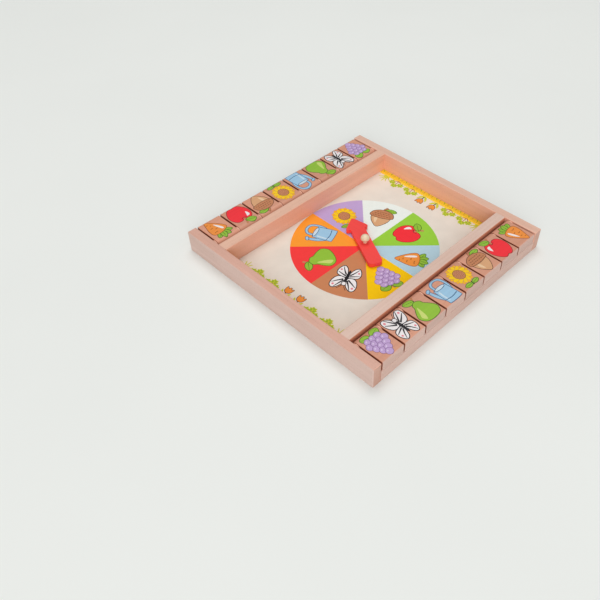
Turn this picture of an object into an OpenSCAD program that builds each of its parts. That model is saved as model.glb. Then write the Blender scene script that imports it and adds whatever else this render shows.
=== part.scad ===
// Wooden shut the box game for two players.
// A shallow square tray has a spinner in the middle. Along each of two
// opposite sides runs a bank of eight tiles, threaded on a dowel, that lie flat
// on a low rest rail and flip up against the partition beside them.
// The origin is at the middle of the underside: X along the tile rows, Z up.

/* [Frame] */
// Length along the tile rows, over the end rails
game_l = 300; // [260:1:360]
// Width across the tile rows, and length of the end rails
game_w = 300; // [260:1:360]
// Height of the end rails and partitions above the table
game_h = 28; // [26:0.5:36]
// Thickness of the end rails
end_rail_t = 12; // [11:0.5:16]
// Thickness of the partitions between tray and tiles
partition_t = 14; // [10:0.5:18]
// Thickness of the low rails that the tiles rest on
rest_rail_t = 12; // [10:0.5:16]
// Radius of the sanded edges of the rails
rail_ease = 1; // [0.4:0.1:1.5]

/* [Base] */
// Thickness of the plywood base board
board_t = 2.5; // [2:0.1:4]
// Height of the board's underside above the table
board_lift = 0.5; // [0.2:0.1:1]
// How far the rebates reach under the rails
rebate_d = 6; // [4:0.5:7]
// Gap round the board in its rebates
board_clear = 0.3; // [0.1:0.1:0.6]
// Thickness of the printed paper on the tray floor
paper_t = 0.2; // [0.1:0.05:0.5]
// Gap between the paper and the rails
paper_clear = 0.3; // [0.1:0.1:1]

/* [Tiles] */
// Tiles in each row
tile_count = 8; // [6:1:10]
// Length of a tile, from its hinge end to the outside of the game
tile_l = 42; // [36:0.5:48]
// Thickness of a tile
tile_t = 13; // [11:0.5:14]
// Gap between neighbouring tiles, and between the last tile and the end rail
tile_gap = 2; // [0.8:0.1:3]
// Gap between the hinge end of a tile and the partition
hinge_gap = 2; // [1.5:0.1:4]
// How far the tops of the tiles lie below the tops of the rails
tile_drop = 0.5; // [0:0.1:1.5]
// Gap between a closed tile and its rest rail
rest_clear = 0.3; // [0.2:0.1:0.6]
// Radius of the outer top edge of a tile
tile_round = 2.5; // [1:0.1:4]
// Radius of all the other sanded edges of a tile
tile_ease = 1; // [0.4:0.1:1.5]

/* [Hinge] */
// Diameter of the dowel that the tiles turn on
hinge_d = 5; // [4:0.1:6]
// Gap all round between the dowel and the bore of a tile
hinge_clear = 0.08; // [0.03:0.01:0.1]
// How far the rims of the spacer discs lie below the tops of the tiles
spacer_drop = 0.75; // [0.5:0.05:2]
// Gap on both sides of a spacer disc
spacer_clear = 0.2; // [0.1:0.05:0.3]
// Depth of the blind sockets in the end rails
socket_depth = 8; // [6:0.5:9]
// Gap between the end of a dowel and the bottom of its socket
socket_end_gap = 0.5; // [0.2:0.1:1]
// Gap all round a glued dowel
glue_clear = 0.03; // [0.01:0.01:0.05]

/* [Corner joints] */
// Diameter of the glued dowels that join the rails
joint_d = 5; // [4:0.5:6]
// Depth of a joint dowel's hole in the end of a partition or rest rail
joint_depth = 16; // [10:1:24]
// Distance of the outer joint dowels from the edges of a partition
joint_inset = 6; // [5:0.5:8]

/* [Spinner] */
// Length of the arrow from the pivot to its tip
arrow_tip = 48; // [40:1:70]
// Length of the arrow from the pivot to its tail
arrow_tail = 40; // [30:1:60]
// Width of the arrow's shaft
arrow_w = 18; // [12:0.5:24]
// Radius of the rounded corners of the tail
tail_round = 5.5; // [2:0.5:6]
// Width of the arrow's head across its barbs
head_w = 28; // [20:0.5:34]
// Length of the arrow's head from the back of its barbs to the tip
head_l = 20.5; // [16:0.5:30]
// Radius of the rounded corners of the head
head_round = 2.5; // [1.5:0.1:3.5]
// Thickness of the arrow
arrow_t = 5.2; // [3.5:0.1:6]
// Direction of the arrow from the X axis
arrow_angle = 62.5; // [0:0.5:359.5]
// Diameter of the peg's shank
peg_d = 5; // [4:0.1:7]
// Diameter of the peg's domed head
peg_head_d = 11.2; // [8:0.1:16]
// Height of the rim of the peg's head above the arrow
peg_reach = 5.8; // [3:0.1:10]
// Height of the cone under the rim, which leaves a short bare shank above the arrow
peg_cone_h = 4.4; // [0.5:0.1:5]
// Gap all round between the shank and the bore of the arrow
peg_clear = 0.08; // [0.03:0.01:0.1]
// Thickness of the washer under the arrow
washer_t = 1; // [0.5:0.1:2]
// Diameter of the washer
washer_d = 12; // [9:0.5:16]
// Gap between the washer and the arrow
washer_clear = 0.15; // [0.1:0.05:0.5]

/* [Hidden] */
$fn = 64;
eps = 0.01;

// Heights
floor_z = board_lift + board_t;
paper_z = floor_z + paper_t;
tile_top_z = game_h - tile_drop;
hinge_z = tile_top_z - tile_t / 2;
rest_rail_h = tile_top_z - tile_t - rest_clear;
washer_z = paper_z + washer_t;
arrow_z = washer_z + washer_clear;
arrow_top_z = arrow_z + arrow_t;

// Distances from the middle, across the rows
hinge_y = game_w / 2 - tile_l + tile_t / 2;
partition_out_y = game_w / 2 - tile_l - hinge_gap;
partition_y = partition_out_y - partition_t / 2;
tray_half_w = partition_out_y - partition_t;
flush_w = partition_t - 2 * rail_ease;
rest_rail_y = game_w / 2 - rest_rail_t / 2;
rebate_y = game_w / 2 - rest_rail_t + rebate_d;

// Distances from the middle, along the rows
end_rail_x = game_l / 2 - end_rail_t / 2;
inner_l = game_l - 2 * end_rail_t;
rebate_x = inner_l / 2 + rebate_d;
tile_pitch = (inner_l - tile_gap) / tile_count;
tile_w = tile_pitch - tile_gap;
hinge_reach = tile_l - tile_t / 2;

// Joint dowels: distance from the middle across the rows, and height
partition_dowel_low = floor_z + joint_inset;
partition_dowel_high = game_h - joint_inset;
rest_dowel_z = (floor_z + rest_rail_h) / 2;
JOINT_ROWS = [
    [partition_y, partition_dowel_low],
    [partition_y, partition_dowel_high],
    [rest_rail_y, rest_dowel_z],
];

TILES = [for (row = ["near", "far"], i = [1 : tile_count]) str("tile_", row, "_", i)];

// A rectangle centred on the origin, with four round corners
module round_rectangle(w, h, r) {
    square([w - 2 * r, h], center = true);
    square([w, h - 2 * r], center = true);
    for (x = [-1, 1], y = [-1, 1])
        translate([x * (w / 2 - r), y * (h / 2 - r)])
            circle(r = r);
}

// The outward normal of the side from a to b of an anticlockwise outline
function outward(a, b) = [b[1] - a[1], a[0] - b[0]] / norm(b - a);

// A convex outline with round corners, from the centres of its corners
module round_polygon(centres, r) {
    last = len(centres) - 1;
    polygon([for (i = [0 : last])
        let(before = centres[i == 0 ? last : i - 1],
            here = centres[i],
            after = centres[i == last ? 0 : i + 1])
        each [here + r * outward(before, here), here + r * outward(here, after)]]);
    for (c = centres)
        translate(c)
            circle(r = r);
}

// A bar's cross section, standing on the line y = 0, with both top edges sanded
module eased_section(w, h, r) {
    translate([-w / 2, 0])
        square([w, h - r]);
    translate([-w / 2 + r, 0])
        square([w - 2 * r, h]);
    for (side = [-1, 1])
        translate([side * (w / 2 - r), h - r])
            circle(r = r);
}

// A bar of that section, as long as l, lying along X on the plane z = 0
module eased_bar(l, w, h, r) {
    rotate([90, 0, 90])
        translate([0, 0, -l / 2])
            linear_extrude(l)
                eased_section(w, h, r);
}

// A round rod from x0 to x1, along X
module rod_x(x0, x1, d) {
    translate([x0, 0, 0])
        rotate([0, 90, 0])
            cylinder(d = d, h = x1 - x0);
}

// The same thing on both sides of the game
module both_sides() {
    for (side = [0, 1])
        mirror([0, side, 0])
            children();
}

// End rail at +X: a full-height rail with a stopped rebate for the board and
// blind sockets for the hinge dowels and the joint dowels. Its edges were sanded
// after gluing, so its top meets the tops of the partitions without a groove.
module end_rail() {
    color("#dcae95")
        difference() {
            union() {
                translate([end_rail_x, 0, 0])
                    intersection() {
                        rotate([0, 0, 90])
                            eased_bar(game_w, end_rail_t, game_h, rail_ease);
                        eased_bar(end_rail_t, game_w, game_h, rail_ease);
                        linear_extrude(game_h)
                            round_rectangle(end_rail_t, game_w, rail_ease);
                    }
                both_sides()
                    translate([inner_l / 2, partition_y - flush_w / 2, game_h - rail_ease])
                        cube([end_rail_t / 2, flush_w, rail_ease]);
            }
            translate([inner_l / 2 - eps, -rebate_y, -eps])
                cube([rebate_d + eps, 2 * rebate_y, floor_z + eps]);
            both_sides() {
                translate([0, hinge_y, hinge_z])
                    rod_x(inner_l / 2 - eps, inner_l / 2 + socket_depth, hinge_d + 2 * glue_clear);
                for (row = JOINT_ROWS)
                    translate([0, row[0], row[1]])
                        rod_x(inner_l / 2 - eps, inner_l / 2 + socket_depth, joint_d + 2 * glue_clear);
            }
        }
}

// Holes for joint dowels in both ends of a bar between the end rails
module end_holes() {
    for (end = [0, 1])
        mirror([end, 0, 0])
            rod_x(inner_l / 2 - joint_depth, inner_l / 2 + eps, joint_d + 2 * glue_clear);
}

// Partition at +Y, glued on the board between the end rails
module partition() {
    color("#d9a98f")
        difference() {
            translate([0, partition_y, floor_z])
                eased_bar(inner_l, partition_t, game_h - floor_z, rail_ease);
            for (z = [partition_dowel_low, partition_dowel_high])
                translate([0, partition_y, z])
                    end_holes();
        }
}

// Rest rail at +Y: low enough for the closed tiles to lie on, with a rebate
module rest_rail() {
    color("#d4a288")
        difference() {
            translate([0, rest_rail_y, 0])
                eased_bar(inner_l, rest_rail_t, rest_rail_h, rail_ease);
            translate([-inner_l / 2 - eps, rebate_y - rebate_d - eps, -eps])
                cube([inner_l + 2 * eps, rebate_d + eps, floor_z + eps]);
            translate([0, rest_rail_y, rest_dowel_z])
                end_holes();
        }
}

// Plywood board in the rebates, with the hole that holds the peg
module base_board() {
    board_l = 2 * (rebate_x - board_clear);
    board_w = 2 * (rebate_y - board_clear);
    color("#e3c79f")
        difference() {
            translate([-board_l / 2, -board_w / 2, board_lift])
                cube([board_l, board_w, board_t]);
            translate([0, 0, board_lift - eps])
                cylinder(d = peg_d + 2 * glue_clear, h = board_t + 2 * eps);
        }
}

// Printed paper on the board between the partitions
module tray_floor_paper() {
    paper_l = inner_l - 2 * paper_clear;
    paper_w = 2 * (tray_half_w - paper_clear);
    color("#e6dccb")
        difference() {
            translate([-paper_l / 2, -paper_w / 2, floor_z])
                cube([paper_l, paper_w, paper_t]);
            translate([0, 0, floor_z - eps])
                cylinder(d = peg_d + 2 * glue_clear, h = paper_t + 2 * eps);
        }
}

// Dowel at +Y that all tiles of a row turn on, held in both end rails
module hinge_dowel() {
    reach = inner_l / 2 + socket_depth - socket_end_gap;
    color("#e9cfa6")
        translate([0, hinge_y, hinge_z])
            rod_x(-reach, reach, hinge_d);
}

// Discs on the dowel at +Y, one in each gap beside and between the tiles
module hinge_spacers() {
    spacer_t = tile_gap - 2 * spacer_clear;
    color("#dcb495")
        for (i = [0 : tile_count])
            translate([i * tile_pitch + spacer_clear - inner_l / 2, hinge_y, hinge_z])
                difference() {
                    rod_x(0, spacer_t, tile_t - 2 * spacer_drop);
                    rod_x(-eps, spacer_t + eps, hinge_d + 2 * glue_clear);
                }
}

// Glued dowels in the ends of the partitions and rest rails
module joint_dowels() {
    color("#e9cfa6")
        for (end = [0, 1])
            mirror([end, 0, 0])
                both_sides()
                    for (row = JOINT_ROWS)
                        translate([0, row[0], row[1]])
                            rod_x(inner_l / 2 - joint_depth + socket_end_gap,
                                inner_l / 2 + socket_depth - socket_end_gap, joint_d);
}

// Side view of a tile, with its hinge axis at the origin: a bullnose round the
// dowel, a rounded outer top edge and a sanded outer bottom edge
module tile_section() {
    difference() {
        union() {
            circle(d = tile_t);
            translate([0, tile_ease - tile_t / 2])
                square([hinge_reach, tile_t - tile_ease - tile_round]);
            translate([0, -tile_t / 2])
                square([hinge_reach - tile_ease, tile_t / 2]);
            square([hinge_reach - tile_round, tile_t / 2]);
            translate([hinge_reach - tile_round, tile_t / 2 - tile_round])
                circle(r = tile_round);
            translate([hinge_reach - tile_ease, tile_ease - tile_t / 2])
                circle(r = tile_ease);
        }
        circle(d = hinge_d + 2 * hinge_clear);
    }
}

// Tile number i of the row at +Y, counted from -X
module tile(i) {
    color("#dba98e")
        translate([tile_gap + (i - 1) * tile_pitch - inner_l / 2, hinge_y, hinge_z])
            intersection() {
                rotate([90, 0, 90])
                    linear_extrude(tile_w)
                        tile_section();
                translate([tile_w / 2, hinge_reach, 0])
                    rotate([90, 0, 0])
                        linear_extrude(tile_l)
                            round_rectangle(tile_w, tile_t, tile_ease);
                translate([tile_w / 2, hinge_reach - tile_l / 2, -tile_t / 2])
                    linear_extrude(tile_t)
                        round_rectangle(tile_w, tile_l, tile_ease);
            }
}

module tile_near(i) {
    mirror([0, 1, 0])
        tile(i);
}

// Outline of the arrow, pointing along X from its pivot: a straight shaft with
// a blunt tail, and a head with rounded barbs and tip
module arrow_outline() {
    barb_x = arrow_tip - head_l;
    round_polygon([
        [tail_round - arrow_tail, tail_round - arrow_w / 2],
        [barb_x, tail_round - arrow_w / 2],
        [barb_x, arrow_w / 2 - tail_round],
        [tail_round - arrow_tail, arrow_w / 2 - tail_round],
    ], tail_round);
    round_polygon([
        [barb_x + head_round, head_round - head_w / 2],
        [arrow_tip - head_round, 0],
        [barb_x + head_round, head_w / 2 - head_round],
    ], head_round);
}

// Flat wooden arrow, bored for the peg
module spinner_arrow() {
    color("#e2373b")
        translate([0, 0, arrow_z])
            difference() {
                rotate([0, 0, arrow_angle])
                    linear_extrude(arrow_t)
                        arrow_outline();
                translate([0, 0, -eps])
                    cylinder(d = peg_d + 2 * peg_clear, h = arrow_t + 2 * eps);
            }
}

// Turned peg with a domed head, glued into the board: half its outline, revolved
module spinner_peg() {
    cone_z = arrow_top_z + peg_reach - peg_cone_h;
    rim_z = arrow_top_z + peg_reach;
    color("#eadfc0") {
        translate([0, 0, board_lift])
            cylinder(d = peg_d, h = cone_z - board_lift + eps);
        translate([0, 0, cone_z])
            cylinder(d1 = peg_d, d2 = peg_head_d, h = peg_cone_h);
        translate([0, 0, rim_z])
            intersection() {
                sphere(d = peg_head_d);
                translate([0, 0, peg_head_d / 4])
                    cube([peg_head_d + 1, peg_head_d + 1, peg_head_d / 2], center = true);
            }
    }
}

// Washer that keeps the arrow off the printed paper
module spinner_washer() {
    color("#f0ead8")
        translate([0, 0, paper_z])
            difference() {
                cylinder(d = washer_d, h = washer_t);
                translate([0, 0, -eps])
                    cylinder(d = peg_d + 2 * glue_clear, h = washer_t + 2 * eps);
            }
}

mirror([1, 0, 0]) end_rail();  // end_rail_left
end_rail();  // end_rail_right
mirror([0, 1, 0]) partition();  // partition_near
partition();  // partition_far
mirror([0, 1, 0]) rest_rail();  // rest_rail_near
rest_rail();  // rest_rail_far
base_board();
tray_floor_paper();
mirror([0, 1, 0]) hinge_dowel();  // hinge_dowel_near
hinge_dowel();  // hinge_dowel_far
mirror([0, 1, 0]) hinge_spacers();  // hinge_spacers_near
hinge_spacers();  // hinge_spacers_far
joint_dowels();
spinner_arrow();
spinner_peg();
spinner_washer();
for (i = [1 : tile_count]) {
    tile_near(i);
    tile(i);
}
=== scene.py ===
# %% [markdown]
# # Dressing a wooden shut the box game
#
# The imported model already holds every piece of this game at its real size: the
# beech rails, the tiles on their dowels, the printed tray floor and the spinner.
# Nothing here moves or resizes those pieces. This notebook gives them wood
# grain, paper, paint and print, and then sets up a camera and soft light.

# %% Load the frame
import math

import bpy
from mathutils import Matrix, Vector, geometry


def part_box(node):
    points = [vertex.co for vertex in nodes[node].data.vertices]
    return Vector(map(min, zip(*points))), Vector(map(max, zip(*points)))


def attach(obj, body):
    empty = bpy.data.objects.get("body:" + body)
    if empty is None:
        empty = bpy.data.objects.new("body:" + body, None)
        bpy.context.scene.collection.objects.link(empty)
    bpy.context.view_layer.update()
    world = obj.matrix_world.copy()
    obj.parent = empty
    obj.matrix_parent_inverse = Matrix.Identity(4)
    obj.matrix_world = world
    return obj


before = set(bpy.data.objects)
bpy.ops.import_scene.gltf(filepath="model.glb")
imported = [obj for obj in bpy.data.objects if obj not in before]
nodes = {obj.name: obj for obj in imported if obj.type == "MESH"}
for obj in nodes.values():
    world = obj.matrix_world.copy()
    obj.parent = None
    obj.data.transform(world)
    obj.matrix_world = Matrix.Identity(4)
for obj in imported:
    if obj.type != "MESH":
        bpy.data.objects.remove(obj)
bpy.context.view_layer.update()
MM = 0.001

# %% [markdown]
# ## Which way the camera looks
#
# A camera can be aimed with three angles or with a constraint that follows a
# target. Here its right, up and backward directions are worked out instead,
# because they are the columns of its rotation matrix, and a roll of half a
# degree is then just one more turn of the first two.

# %% Camera directions
CAMERA_AZIMUTH = math.radians(-46.63)
CAMERA_ELEVATION = math.radians(45.84)
CAMERA_ROLL = math.radians(0.57)


def camera_axes(azimuth, elevation, roll):
    """The camera's right, up and backward directions; azimuth 0 looks along +Y."""
    back = Vector((
        math.sin(azimuth) * math.cos(elevation),
        -math.cos(azimuth) * math.cos(elevation),
        math.sin(elevation),
    ))
    right = Vector((math.cos(azimuth), math.sin(azimuth), 0))
    up = back.cross(right)
    tilted_right = math.cos(roll) * right + math.sin(roll) * up
    tilted_up = math.cos(roll) * up - math.sin(roll) * right
    return tilted_right, tilted_up, back


turn = Matrix(camera_axes(CAMERA_AZIMUTH, CAMERA_ELEVATION, CAMERA_ROLL)).transposed()
print("camera looks along", [round(-part, 3) for part in turn.col[2]])

# %% [markdown]
# ## The camera
#
# The game is seen from above one corner. The camera's place, direction and focal
# length were worked out from where the corners of the frame, the tile gaps and
# the rim of the wheel lie in the photograph, which is 600 pixels wide. The lens
# axis doesn't pass through the middle of the picture, so the camera gets a small
# sideways shift instead of a turn, which would bend the perspective.

# %% Camera
CAMERA_SPOT = Vector((-0.4522, -0.4030, 0.5315))
SENSOR_MM = 36
PICTURE_PX = 600
FOCAL_PX = 653.6
AXIS_PX = 350  # where the lens axis meets the picture, from its left edge

lens = bpy.data.cameras.new("camera")
lens.sensor_width = SENSOR_MM
lens.lens = lens.sensor_width * FOCAL_PX / PICTURE_PX
lens.shift_x = (PICTURE_PX / 2 - AXIS_PX) / PICTURE_PX
camera = bpy.data.objects.new("camera", lens)
camera.matrix_world = Matrix.Translation(CAMERA_SPOT) @ turn.to_4x4()
bpy.context.scene.collection.objects.link(camera)
bpy.context.scene.camera = camera
print("lens", round(lens.lens, 2), "mm, shift", round(lens.shift_x, 3))

# %% [markdown]
# ## Colours
#
# A designer reads a colour off a screen, as three numbers from 0 to 255. A
# renderer adds up light, so it needs linear values, and the curve between the
# two is the screen's own. With these two helpers the numbers below stay the ones
# that anyone can check in a colour picker.

# %% Colours


def colour(red, green, blue):
    """A screen colour, 0 to 255, as the linear colour that a shader needs."""
    def linear(value):
        value /= 255
        return value / 12.92 if value <= 0.04045 else ((value + 0.055) / 1.055) ** 2.4
    return (linear(red), linear(green), linear(blue), 1)


def shaded(tint, factor):
    """A colour made lighter or darker."""
    return tuple(min(1.0, part * factor) for part in tint[:3]) + (1,)


print("half grey of a screen in linear light:", round(colour(128, 128, 128)[0], 3))

# %% [markdown]
# ## Small helpers for nodes
#
# A material in Blender is a graph of nodes. It can be wired by hand in the
# Shader Editor. In code it is mostly adding a node, setting its numbers and
# linking its sockets, so a few short helpers do all of that, and a material then
# reads like a recipe.

# %% Node helpers
# The Mix node keeps sockets for every kind of data; these are the colour ones.
MIX_INPUTS = (0, 6, 7)
MIX_RESULT = 2


def feed(tree, sockets, values):
    """Gives each socket a number or colour, or links another socket to it."""
    for socket, value in zip(sockets, values):
        if isinstance(value, bpy.types.NodeSocket):
            tree.links.new(value, socket)
        else:
            socket.default_value = value


def add(tree, kind, inputs=None, **settings):
    """A new shader node with some of its inputs fed."""
    made = tree.nodes.new("ShaderNode" + kind)
    for name, value in settings.items():
        setattr(made, name, value)
    inputs = inputs or {}
    feed(tree, [made.inputs[name] for name in inputs], inputs.values())
    return made


def maths(tree, operation, first, second=0.5):
    """One sum on numbers or sockets."""
    made = add(tree, "Math", operation=operation)
    feed(tree, made.inputs, (first, second))
    return made.outputs[0]


def mixed(tree, amount, first, second, blend="MIX"):
    """Two colours mixed."""
    made = add(tree, "Mix", data_type="RGBA", blend_type=blend)
    feed(tree, [made.inputs[place] for place in MIX_INPUTS], (amount, first, second))
    return made.outputs[MIX_RESULT]


def remap(tree, value, low, high, to_low=0.0, to_high=1.0):
    """The value, stretched from low..high to another range and clamped."""
    return add(tree, "MapRange", {
        "Value": value, "From Min": low, "From Max": high, "To Min": to_low, "To Max": to_high,
    }).outputs["Result"]


print("node helpers:", [helper.__name__ for helper in (feed, add, maths, mixed, remap)])

# %% [markdown]
# ## Groups and materials
#
# An effect that several materials share is built once, as a node group with
# named sockets. Each material keeps one Principled BSDF of its own, and whatever
# is the same all over a surface is set straight on that shader. The names of its
# sockets have spaces, which Python's keywords can't have, so the helper takes
# them with underscores.

# %% Group and material helpers


def new_group(name, inputs, outputs):
    """An empty node group; inputs and outputs are (name, socket type, start value)."""
    tree = bpy.data.node_groups.new(name, "ShaderNodeTree")
    for direction, sockets in (("INPUT", inputs), ("OUTPUT", outputs)):
        for label, kind, start in sockets:
            socket = tree.interface.new_socket(label, in_out=direction, socket_type="NodeSocket" + kind)
            if start is not None:
                socket.default_value = start
    return tree, tree.nodes.new("NodeGroupInput").outputs, tree.nodes.new("NodeGroupOutput").inputs


def new_material(name, **fixed):
    """A material with one Principled BSDF; fixed holds numbers for its own sockets."""
    made = bpy.data.materials.new(name)
    made.use_nodes = True
    tree = made.node_tree
    tree.nodes.clear()
    shader = add(tree, "BsdfPrincipled")
    for label, value in fixed.items():
        shader.inputs[label.replace("_", " ")].default_value = value
    add(tree, "OutputMaterial", {"Surface": shader.outputs["BSDF"]})
    return made, tree, shader


def wear(node_name, material):
    """Gives a CAD node one material."""
    mesh = nodes[node_name].data
    mesh.materials.clear()
    mesh.materials.append(material)


print("CAD nodes to dress:", len(nodes))

# %% [markdown]
# ## Beech
#
# The rails and tiles are steamed beech: a pinkish tan wood with soft, even
# grain, faint growth rings and short brown flecks. A picture texture would need
# unwrapping and would repeat. Solid noise needs neither: it is cut by the
# surface just as a saw cuts a log, so end grain and long grain agree at every
# edge. One node group makes it, from a place in the wood whose X axis runs along
# the grain, and each piece looks it up at a place of its own.

# %% The grain group
grain, grain_in, grain_out = new_group(
    "grain",
    [("Place", "Vector", None), ("Tint", "Color", (1, 1, 1, 1)), ("Fleck amount", "Float", 0.4)],
    [("Colour", "Color", None), ("Tone", "Float", None), ("Height", "Float", None)],
)
place = grain_in["Place"]


def stretched(place, along, across, shift=(0, 0, 0)):
    """The place, scaled so that features are long along the grain; both in counts per metre."""
    scale = (along, across, across)
    return add(grain, "Mapping", {"Vector": place, "Scale": scale, "Location": shift}).outputs["Vector"]


def noise(place, detail=2.0, roughness=0.5):
    """Smooth noise from 0 to 1, one feature per unit."""
    inputs = {"Vector": place, "Scale": 1.0, "Detail": detail, "Roughness": roughness}
    return add(grain, "TexNoise", inputs).outputs["Fac"]


print("grain group's inputs:", [socket.name for socket in grain_in if socket.name])

# %% [markdown]
# ## The figure of a board
#
# A beech board changes tone at four scales: broad clouds, streaks along the
# grain, growth rings round the tree's heart, and hair-fine fibres. One noise
# with much detail would blur them into each other. Four patterns, each
# stretched along the grain by its own amount, can be weighed one by one, and
# their sum is a tone from 0, pale, to 1, deep.

# %% Tone
NOISE_SPAN = (0.3, 0.7)  # noise hardly ever leaves this range
FINE_SPAN = (0.35, 0.65)
HEART = (0, 0.043, -0.071)  # puts the middle of the growth rings off to one side
CLOUD_SHARE = 0.5
STREAK_SHARE = 0.26
RING_SHARE = 0.14
FIBRE_SHARE = 0.14

clouds = noise(stretched(place, along=7, across=55))
streaks = noise(stretched(place, along=12, across=340), detail=3, roughness=0.6)
fibres = noise(stretched(place, along=60, across=2600))
rings = add(grain, "TexWave", {
    "Vector": stretched(place, along=0.25, across=1, shift=HEART),
    "Scale": 62.0, "Distortion": 2.2, "Detail": 2.0, "Detail Scale": 0.35,
}, wave_type="RINGS", rings_direction="X").outputs["Fac"]
cloudy = remap(grain, clouds, *NOISE_SPAN, 0, CLOUD_SHARE)
streaky = remap(grain, streaks, *NOISE_SPAN, 0, STREAK_SHARE)
tone = maths(grain, "ADD", cloudy, streaky)
tone = maths(grain, "ADD", tone, maths(grain, "MULTIPLY", rings, RING_SHARE))
tone = maths(grain, "ADD", tone, remap(grain, fibres, *FINE_SPAN, 0, FIBRE_SHARE))
print("tone so far:", len(grain.nodes), "nodes")

# %% [markdown]
# ## Flecks
#
# Beech is known by its flecks, short brown dashes along the grain. Dots of noise
# would come in all sizes. Voronoi cells spread them evenly: each cell, drawn out
# along the grain, can hold one dash at its middle, and a random colour that
# comes with the cell picks the third of them that do.

# %% Flecks and outputs
FLECK_RIM = 0.34
FLECK_CORE = 0.2
FLECK_FREE = 0.66  # the share of the cells that stay empty
DEEP = (0.87, 0.81, 0.77, 1)
PALE = (1.07, 1.08, 1.09, 1)
FLECK = (0.62, 0.50, 0.44, 1)

cells = add(grain, "TexVoronoi", {"Vector": stretched(place, along=260, across=1500), "Scale": 1.0})
dash = remap(grain, cells.outputs["Distance"], FLECK_RIM, FLECK_CORE)
chosen = add(grain, "SeparateColor", {"Color": cells.outputs["Color"]}).outputs[0]
flecks = maths(grain, "MULTIPLY", dash, maths(grain, "GREATER_THAN", chosen, FLECK_FREE))
flecks = maths(grain, "MULTIPLY", flecks, grain_in["Fleck amount"])
wood = mixed(grain, 1.0, grain_in["Tint"], mixed(grain, tone, PALE, DEEP), "MULTIPLY")
flecked = mixed(grain, flecks, wood, mixed(grain, 1.0, wood, FLECK, "MULTIPLY"))
grain.links.new(flecked, grain_out["Colour"])
grain.links.new(tone, grain_out["Tone"])
grain.links.new(maths(grain, "SUBTRACT", fibres, flecks), grain_out["Height"])
print("grain group:", len(grain.nodes), "nodes")

# %% [markdown]
# ## Which way a face looks
#
# The wood isn't one colour all over. The tray's inner walls get a warmer, brighter tint, and the tops and the
# outside of the frame a paler one. This is painted light and shade, for the way the light falls on each side.
# On the partitions, the faces towards the tiles get a darker tint, as painted shade. The ends are darker,
# partly for their end grain and, on the tiles' sides, partly as painted shade in the gaps between tiles. Each
# face could get its own material by hand. A second group tells the faces apart instead, from a point's place
# and normal in the game's own coordinates, so the tints stay put when a tile is flipped. A face looks
# outwards when its normal points away from the middle of the game, measured across the grain.

# %% The facing group
UPWARD = (0.75, 0.95)  # where each mask starts and where it is full
OUTWARD = (0.02, 0.06)
SAWN = (0.8, 0.97)
facing, facing_in, facing_out = new_group(
    "facing", [("Along", "Vector", (1, 0, 0))],
    [("Upward", "Float", None), ("Outward", "Float", None), ("End", "Float", None)],
)


def vector_sum(operation, first, second):
    """One sum on two vectors; the node's outputs are returned."""
    made = add(facing, "VectorMath", operation=operation)
    feed(facing, made.inputs, (first, second))
    return made.outputs


spot = add(facing, "TexCoord").outputs
across = vector_sum("SUBTRACT", (1, 1, 0), facing_in["Along"])["Vector"]
level = vector_sum("MULTIPLY", spot["Object"], across)["Vector"]
away = vector_sum("DOT_PRODUCT", level, spot["Normal"])["Value"]
lengthways = vector_sum("DOT_PRODUCT", facing_in["Along"], spot["Normal"])["Value"]
height = add(facing, "SeparateXYZ", {"Vector": spot["Normal"]}).outputs["Z"]
facing.links.new(remap(facing, height, *UPWARD), facing_out["Upward"])
facing.links.new(remap(facing, away, *OUTWARD), facing_out["Outward"])
facing.links.new(remap(facing, maths(facing, "ABSOLUTE", lengthways), *SAWN), facing_out["End"])
print("facing group:", len(facing.nodes), "nodes")

# %% [markdown]
# ## A place in the wood for each piece
#
# The pieces were cut from different strips, so no two show the same grain. Each
# material turns the game's coordinates until X runs along its own piece, and
# then jumps to a far place in the noise, set by the piece's number. Object
# coordinates are used rather than a UV map, because they keep the grain at its
# real scale.

# %% Placing the grain
GRAIN_TURN = {"x": (0, 0, 0), "y": (0, 0, math.radians(-90)), "z": (0, math.radians(90), 0)}
PIECE_STEP = (0.37, 0.113, 0.071)  # metres from one piece's place to the next one's


def grain_node(tree, along, seed, tint, fleck=0.4):
    """The grain group, placed in a material: turned to the piece's grain and offset."""
    spot = add(tree, "TexCoord").outputs["Object"]
    turned = add(tree, "Mapping", {"Vector": spot, "Rotation": GRAIN_TURN[along]}).outputs["Vector"]
    offset = [step * seed for step in PIECE_STEP]
    place = add(tree, "Mapping", {"Vector": turned, "Location": offset}).outputs["Vector"]
    return add(tree, "Group", {"Place": place, "Tint": tint, "Fleck amount": fleck}, node_tree=grain)


print("ways the grain can run:", list(GRAIN_TURN))

# %% [markdown]
# ## Lacquered and bare wood
#
# The rails and tiles have a thin coat of lacquer, which gives them a low, even sheen. The plywood, the dowels
# and the spacer discs are left raw. Two graphs built apart would soon differ in more than that, so one
# function gives both kinds their colour, roughness and very fine relief from the same grain, and deep tones
# come out a little duller. The lacquered kind adds the coat, a tint for each way that its faces look, which
# paints light and shade onto them, and a small change of lightness from piece to piece.

# %% Wood finishes
GRAIN_WAY = {"x": (1, 0, 0), "y": (0, 1, 0)}
GRAIN_DEPTH = 0.06 * MM
ROUGH_SPREAD = 0.13  # from the palest to the deepest tone
LACQUER_ROUGH = 0.45
RAW_ROUGH = 0.58
TINT_STEPS = (1.03, 0.96, 1.0, 0.93, 0.99, 1.05, 0.95)
# Painted light: the inner walls' tint, warmer and brighter than the tops for the light that falls on them.
# The spacer discs share it.
WARM_WALL = colour(240, 184, 160)
RAIL_ENDS = (0.73, 0.75, 0.78, 1)


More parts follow.
